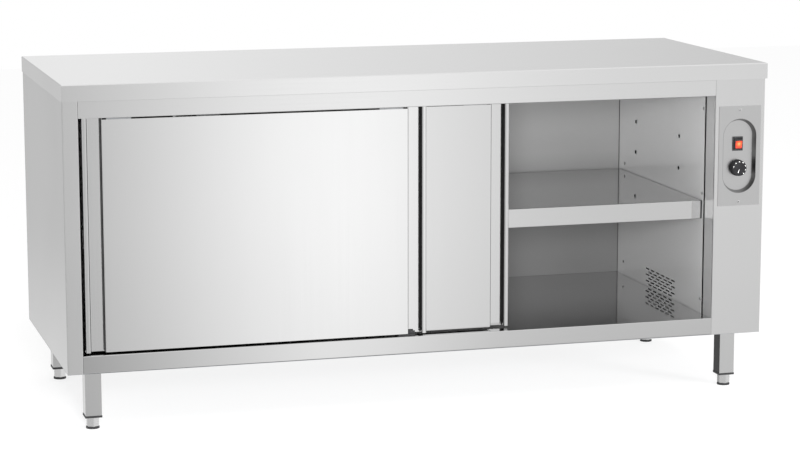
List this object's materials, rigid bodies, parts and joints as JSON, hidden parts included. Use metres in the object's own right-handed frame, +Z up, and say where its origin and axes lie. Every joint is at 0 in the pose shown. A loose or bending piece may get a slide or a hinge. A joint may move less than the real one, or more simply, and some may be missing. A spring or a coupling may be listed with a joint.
{
  "type": "plate warmer cabinet",
  "caption": "Free-standing heated plate cabinet with a flat worktop, sliding doors in a hanging track, a removable shelf and a blower heater behind the controls.",
  "frame": {"origin": "on the floor below the middle of the worktop", "axes": "+X along the front towards the controls, +Y from the front to the back, +Z up"},
  "size_m": [1.8, 0.7, 0.85],
  "materials": {
    "polished_steel": "satin",
    "brushed_steel": "satin",
    "inner_steel": "satin",
    "zinc": "satin",
    "track": "satin",
    "copper_nickel": "satin",
    "chipboard": "matte",
    "wool": "matte",
    "dark_rubber": "matte",
    "dark_plastic": "satin",
    "knob_plastic": "satin",
    "rocker_red": "gloss"
  },
  "bodies": {
    "cabinet": {"worktop": "polished_steel", "worktop_underlay": "chipboard", "left_side_panel": "polished_steel", "right_side_panel": "brushed_steel", "rear_panel": "brushed_steel", "control_fascia": "polished_steel", "left_inner_wall": "inner_steel", "right_inner_wall": "inner_steel", "inner_back_wall": "inner_steel", "inner_ceiling": "inner_steel", "floor_panel": "inner_steel", "under_panel": "zinc", "top_rail": "polished_steel", "door_track": "track", "door_guide": "dark_plastic", "door_bumpers": "dark_rubber", "insulation_slabs": "wool", "shelf_inserts": "zinc", "wall_rivets": "zinc", "shelf_pins": "zinc", "leg_front_left": "brushed_steel", "leg_front_right": "brushed_steel", "leg_rear_left": "brushed_steel", "leg_rear_right": "brushed_steel", "leg_plugs": "dark_plastic", "control_plate": "polished_steel", "cover_screws": "zinc", "switch_housing": "dark_plastic", "thermostat_body": "zinc", "blower_housing": "zinc", "blower_motor": "zinc", "heating_element": "copper_nickel", "cable_gland": "dark_plastic"},
    "switch_rocker": {"switch_rocker": "rocker_red"},
    "knob": {"thermostat_knob": "knob_plastic", "thermostat_shaft": "zinc"},
    "blower_wheel": {"blower_wheel": "zinc"},
    "shelf": {"shelf": "inner_steel"},
    "front_door": {"front_door_skin": "polished_steel", "front_door_back": "brushed_steel", "front_door_grips": "polished_steel", "front_door_liners": "dark_plastic", "front_door_hangers": "zinc"},
    "front_door_wheels_left": {"front_door_wheels_left": "dark_plastic"},
    "front_door_wheels_right": {"front_door_wheels_right": "dark_plastic"},
    "rear_door": {"rear_door_skin": "polished_steel", "rear_door_back": "brushed_steel", "rear_door_grips": "polished_steel", "rear_door_liners": "dark_plastic", "rear_door_hangers": "zinc"},
    "rear_door_wheels_left": {"rear_door_wheels_left": "dark_plastic"},
    "rear_door_wheels_right": {"rear_door_wheels_right": "dark_plastic"},
    "foot_pad_front_left": {"foot_pad_front_left": "dark_plastic"},
    "foot_spindle_front_left": {"foot_spindle_front_left": "brushed_steel"},
    "foot_pad_front_right": {"foot_pad_front_right": "dark_plastic"},
    "foot_spindle_front_right": {"foot_spindle_front_right": "brushed_steel"},
    "foot_pad_rear_left": {"foot_pad_rear_left": "dark_plastic"},
    "foot_spindle_rear_left": {"foot_spindle_rear_left": "brushed_steel"},
    "foot_pad_rear_right": {"foot_pad_rear_right": "dark_plastic"},
    "foot_spindle_rear_right": {"foot_spindle_rear_right": "brushed_steel"}
  },
  "joints": [
    {"name": "front_door_slide", "type": "slide", "parent": "cabinet", "child": "front_door", "axis": [1, 0, 0], "range_m": [0, 0.7515]},
    {"name": "rear_door_slide", "type": "slide", "parent": "cabinet", "child": "rear_door", "axis": [1, 0, 0], "range_m": [-0.222, 0.5295]},
    {"name": "front_door_wheels_left_turn", "type": "hinge", "parent": "front_door", "child": "front_door_wheels_left", "pos_m": [-0.761, -0.3225, 0.7923], "axis": [0, 1, 0], "continuous": true},
    {"name": "front_door_wheels_right_turn", "type": "hinge", "parent": "front_door", "child": "front_door_wheels_right", "pos_m": [-0.088, -0.3225, 0.7923], "axis": [0, 1, 0], "continuous": true},
    {"name": "rear_door_wheels_left_turn", "type": "hinge", "parent": "rear_door", "child": "rear_door_wheels_left", "pos_m": [-0.539, -0.2995, 0.7923], "axis": [0, 1, 0], "continuous": true},
    {"name": "rear_door_wheels_right_turn", "type": "hinge", "parent": "rear_door", "child": "rear_door_wheels_right", "pos_m": [0.134, -0.2995, 0.7923], "axis": [0, 1, 0], "continuous": true},
    {"name": "switch_rocker_tilt", "type": "hinge", "parent": "cabinet", "child": "switch_rocker", "pos_m": [0.83025, -0.33, 0.643], "axis": [1, 0, 0], "range_deg": [-16, 0]},
    {"name": "thermostat_knob_turn", "type": "hinge", "parent": "cabinet", "child": "knob", "pos_m": [0.83025, -0.338, 0.581], "axis": [0, 1, 0], "range_deg": [0, 270]},
    {"name": "blower_wheel_spin", "type": "hinge", "parent": "cabinet", "child": "blower_wheel", "pos_m": [0.8325, 0.01325, 0.25], "axis": [0, 1, 0], "continuous": true},
    {"name": "shelf_lift", "type": "slide", "parent": "cabinet", "child": "shelf", "axis": [0, 0, 1], "range_m": [0, 0.19]},
    {"name": "foot_height_front_left", "type": "slide", "parent": "cabinet", "child": "foot_pad_front_left", "axis": [0, 0, -1], "range_m": [0, 0.025]},
    {"name": "foot_screw_front_left", "type": "hinge", "parent": "foot_pad_front_left", "child": "foot_spindle_front_left", "pos_m": [-0.83, -0.272, 0.015], "axis": [0, 0, -1], "continuous": true},
    {"name": "foot_height_front_right", "type": "slide", "parent": "cabinet", "child": "foot_pad_front_right", "axis": [0, 0, -1], "range_m": [0, 0.025]},
    {"name": "foot_screw_front_right", "type": "hinge", "parent": "foot_pad_front_right", "child": "foot_spindle_front_right", "pos_m": [0.83, -0.272, 0.015], "axis": [0, 0, -1], "continuous": true},
    {"name": "foot_height_rear_left", "type": "slide", "parent": "cabinet", "child": "foot_pad_rear_left", "axis": [0, 0, -1], "range_m": [0, 0.025]},
    {"name": "foot_screw_rear_left", "type": "hinge", "parent": "foot_pad_rear_left", "child": "foot_spindle_rear_left", "pos_m": [-0.83, 0.278, 0.015], "axis": [0, 0, -1], "continuous": true},
    {"name": "foot_height_rear_right", "type": "slide", "parent": "cabinet", "child": "foot_pad_rear_right", "axis": [0, 0, -1], "range_m": [0, 0.025]},
    {"name": "foot_screw_rear_right", "type": "hinge", "parent": "foot_pad_rear_right", "child": "foot_spindle_rear_right", "pos_m": [0.83, 0.278, 0.015], "axis": [0, 0, -1], "continuous": true}
  ],
  "couplings": [
    {"joint": "front_door_wheels_left_turn", "follows": "front_door_slide", "rad_per_m": 83.333},
    {"joint": "front_door_wheels_right_turn", "follows": "front_door_slide", "rad_per_m": 83.333},
    {"joint": "rear_door_wheels_left_turn", "follows": "rear_door_slide", "rad_per_m": 83.333},
    {"joint": "rear_door_wheels_right_turn", "follows": "rear_door_slide", "rad_per_m": 83.333},
    {"joint": "foot_screw_front_left", "follows": "foot_height_front_left", "rad_per_m": 3590.4},
    {"joint": "foot_screw_front_right", "follows": "foot_height_front_right", "rad_per_m": 3590.4},
    {"joint": "foot_screw_rear_left", "follows": "foot_height_rear_left", "rad_per_m": 3590.4},
    {"joint": "foot_screw_rear_right", "follows": "foot_height_rear_right", "rad_per_m": 3590.4}
  ]
}
